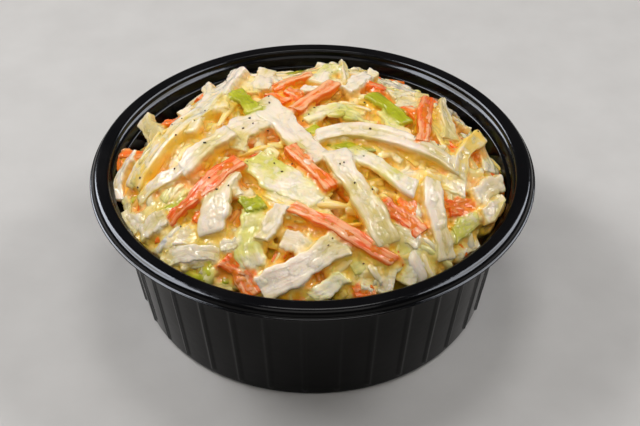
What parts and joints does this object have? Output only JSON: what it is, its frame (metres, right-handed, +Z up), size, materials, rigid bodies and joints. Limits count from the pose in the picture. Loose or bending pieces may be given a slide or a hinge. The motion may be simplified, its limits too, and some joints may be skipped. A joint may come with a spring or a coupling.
{
  "type": "coleslaw in a takeaway cup",
  "caption": "Creamy coleslaw of cabbage and carrot shreds, heaped in a round ribbed black plastic cup with a flanged rim.",
  "frame": {"origin": "middle of the cup's foot, on the surface it stands on", "axes": "+Z up through the cup's mouth, -Y towards the front, where the heap reaches highest up the wall"},
  "size_m": [0.12, 0.12, 0.0553],
  "materials": {
    "cup_plastic": "glossy black moulded plastic",
    "dressed_slaw": "moist cream-white cabbage, pale green leaf and orange carrot in a thin creamy dressing"
  },
  "bodies": {
    "root": {"cup": "cup_plastic", "coleslaw": "dressed_slaw"}
  },
  "joints": []
}
